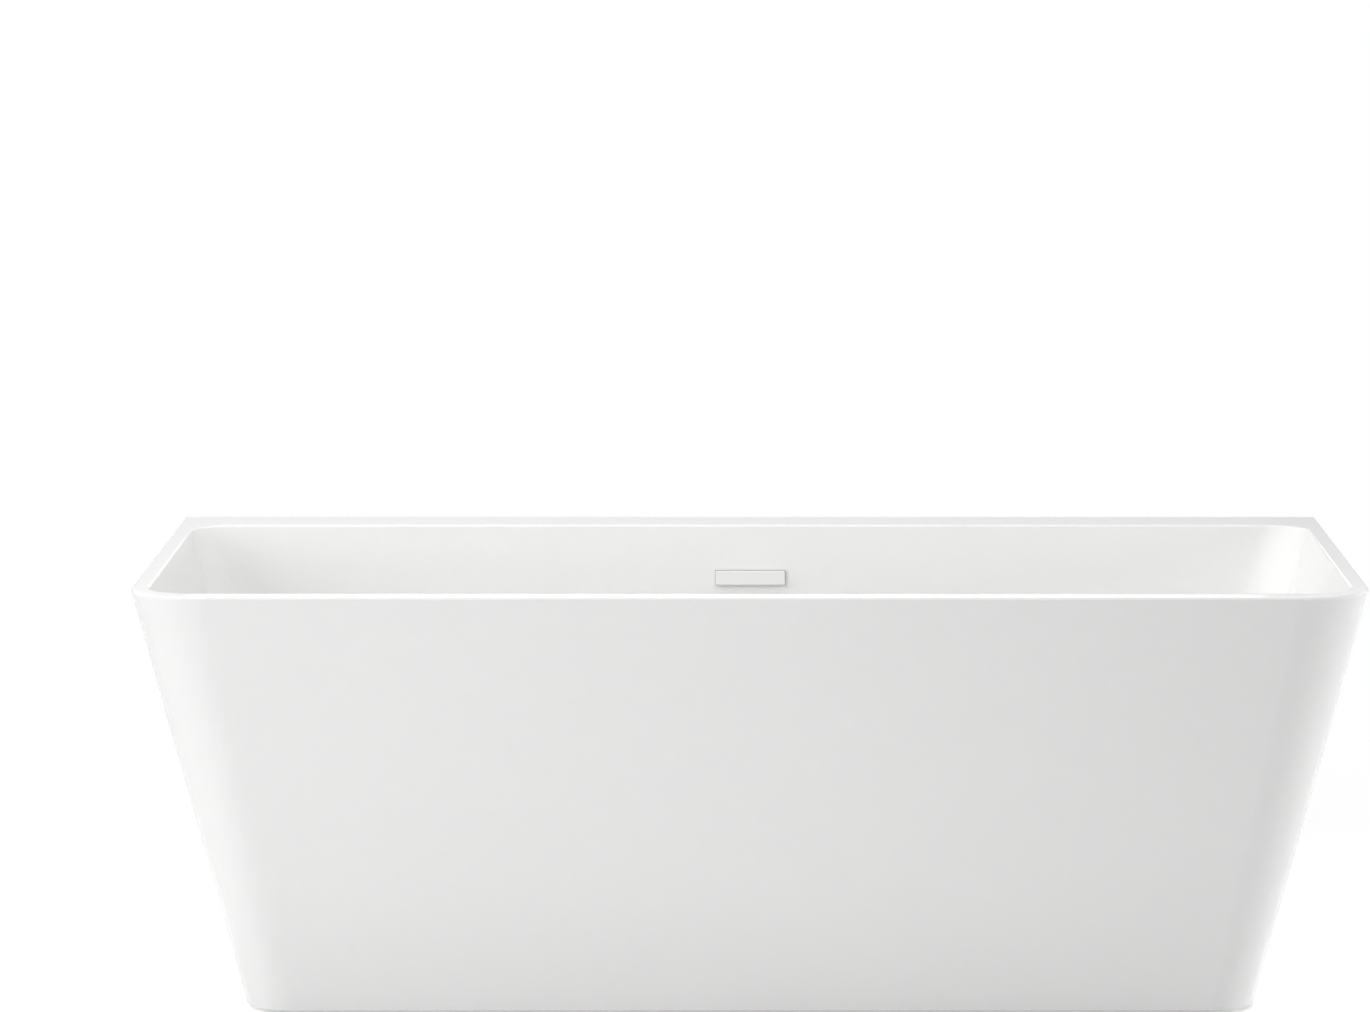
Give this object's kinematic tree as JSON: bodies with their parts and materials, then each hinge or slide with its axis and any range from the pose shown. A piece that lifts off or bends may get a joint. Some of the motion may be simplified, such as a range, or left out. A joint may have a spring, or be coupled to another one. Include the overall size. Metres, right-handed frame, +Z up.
{
  "type": "freestanding bathtub",
  "caption": "Back-to-wall freestanding acrylic bathtub with tapered apron, flat rim, slot overflow, click waste, steel frame and levelling feet.",
  "frame": {"origin": "on the floor, below the middle of the rim's outline", "axes": "+X along the bath to the right seen from the front, +Y towards the wall, +Z up"},
  "size_m": [1.7, 0.8, 0.6],
  "materials": {
    "acrylic": "polished white sanitary acrylic",
    "glass_fibre": "sprayed glass-fibre resin, uneven",
    "board": "raw particle board",
    "timber": "planed softwood",
    "galvanised_steel": "galvanised, spangled",
    "zinc_plate": "zinc plated",
    "spring_steel": "bright stainless",
    "chrome": "polished chrome plate",
    "cover_plastic": "glossy white",
    "white_plastic": "moulded polypropylene",
    "hose_plastic": "corrugated, satin",
    "black_plastic": "moulded nylon",
    "rubber": "matt"
  },
  "bodies": {
    "tub": {"basin_shell": "acrylic", "basin_laminate": "glass_fibre", "outer_apron": "acrylic", "base_board": "board", "rim_batten": "timber", "frame_front_rail": "galvanised_steel", "frame_rear_rail": "galvanised_steel", "frame_cross_rail_left": "galvanised_steel", "frame_cross_rail_right": "galvanised_steel", "frame_uprights": "galvanised_steel", "upright_plates": "galvanised_steel", "rail_end_caps": "black_plastic", "board_screws": "zinc_plate", "batten_screws": "zinc_plate", "foot_weld_nuts": "zinc_plate", "foot_lock_nuts": "zinc_plate", "waste_flange": "chrome", "waste_upper_gasket": "rubber", "waste_lower_gasket": "rubber", "waste_body": "white_plastic", "click_housing": "black_plastic", "click_spring": "spring_steel", "overflow_cover": "cover_plastic", "overflow_insert": "white_plastic", "overflow_gasket": "rubber", "overflow_body": "white_plastic", "overflow_screws": "zinc_plate", "overflow_hose": "hose_plastic", "hose_nuts": "white_plastic", "hose_seals": "rubber", "trap_inlet_nut": "white_plastic", "trap_inlet_seal": "rubber", "trap_body": "white_plastic", "trap_cleaning_cap": "white_plastic", "trap_outlet_nut": "white_plastic", "trap_outlet_seal": "rubber", "outlet_pipe": "white_plastic"},
    "plug": {"plug_cap": "chrome", "plug_seal": "rubber", "plug_stem": "spring_steel"},
    "foot_pad_front_left": {"foot_pad_front_left": "black_plastic"},
    "foot_stud_front_left": {"foot_stud_front_left": "zinc_plate"},
    "foot_pad_front_right": {"foot_pad_front_right": "black_plastic"},
    "foot_stud_front_right": {"foot_stud_front_right": "zinc_plate"},
    "foot_pad_front_centre": {"foot_pad_front_centre": "black_plastic"},
    "foot_stud_front_centre": {"foot_stud_front_centre": "zinc_plate"},
    "foot_pad_rear_left": {"foot_pad_rear_left": "black_plastic"},
    "foot_stud_rear_left": {"foot_stud_rear_left": "zinc_plate"},
    "foot_pad_rear_right": {"foot_pad_rear_right": "black_plastic"},
    "foot_stud_rear_right": {"foot_stud_rear_right": "zinc_plate"}
  },
  "joints": [
    {"name": "plug_lift", "type": "slide", "parent": "tub", "child": "plug", "axis": [0, 0, 1], "range_m": [0, 0.009], "deforming": ["click_spring"]},
    {"name": "foot_level_front_left", "type": "slide", "parent": "tub", "child": "foot_pad_front_left", "axis": [0, 0, -1], "range_m": [-0.003, 0.015]},
    {"name": "stud_turn_front_left", "type": "hinge", "parent": "foot_pad_front_left", "child": "foot_stud_front_left", "pos_m": [-0.54166, -0.1895, 0], "axis": [0, 0, 1], "range_deg": [-637.1, 3105.7]},
    {"name": "foot_level_front_right", "type": "slide", "parent": "tub", "child": "foot_pad_front_right", "axis": [0, 0, -1], "range_m": [-0.003, 0.015]},
    {"name": "stud_turn_front_right", "type": "hinge", "parent": "foot_pad_front_right", "child": "foot_stud_front_right", "pos_m": [0.54166, -0.1895, 0], "axis": [0, 0, 1], "range_deg": [-637.1, 3105.7]},
    {"name": "foot_level_front_centre", "type": "slide", "parent": "tub", "child": "foot_pad_front_centre", "axis": [0, 0, -1], "range_m": [-0.003, 0.015]},
    {"name": "stud_turn_front_centre", "type": "hinge", "parent": "foot_pad_front_centre", "child": "foot_stud_front_centre", "pos_m": [0, -0.167, 0], "axis": [0, 0, 1], "range_deg": [-637.1, 3105.7]},
    {"name": "foot_level_rear_left", "type": "slide", "parent": "tub", "child": "foot_pad_rear_left", "axis": [0, 0, -1], "range_m": [-0.003, 0.015]},
    {"name": "stud_turn_rear_left", "type": "hinge", "parent": "foot_pad_rear_left", "child": "foot_stud_rear_left", "pos_m": [-0.54166, 0.352, 0], "axis": [0, 0, 1], "range_deg": [-637.1, 3105.7]},
    {"name": "foot_level_rear_right", "type": "slide", "parent": "tub", "child": "foot_pad_rear_right", "axis": [0, 0, -1], "range_m": [-0.003, 0.015]},
    {"name": "stud_turn_rear_right", "type": "hinge", "parent": "foot_pad_rear_right", "child": "foot_stud_rear_right", "pos_m": [0.54166, 0.352, 0], "axis": [0, 0, 1], "range_deg": [-637.1, 3105.7]}
  ],
  "couplings": [
    {"joint": "stud_turn_front_left", "follows": "foot_level_front_left", "rad_per_m": 3590.4},
    {"joint": "stud_turn_front_right", "follows": "foot_level_front_right", "rad_per_m": 3590.4},
    {"joint": "stud_turn_front_centre", "follows": "foot_level_front_centre", "rad_per_m": 3590.4},
    {"joint": "stud_turn_rear_left", "follows": "foot_level_rear_left", "rad_per_m": 3590.4},
    {"joint": "stud_turn_rear_right", "follows": "foot_level_rear_right", "rad_per_m": 3590.4}
  ]
}
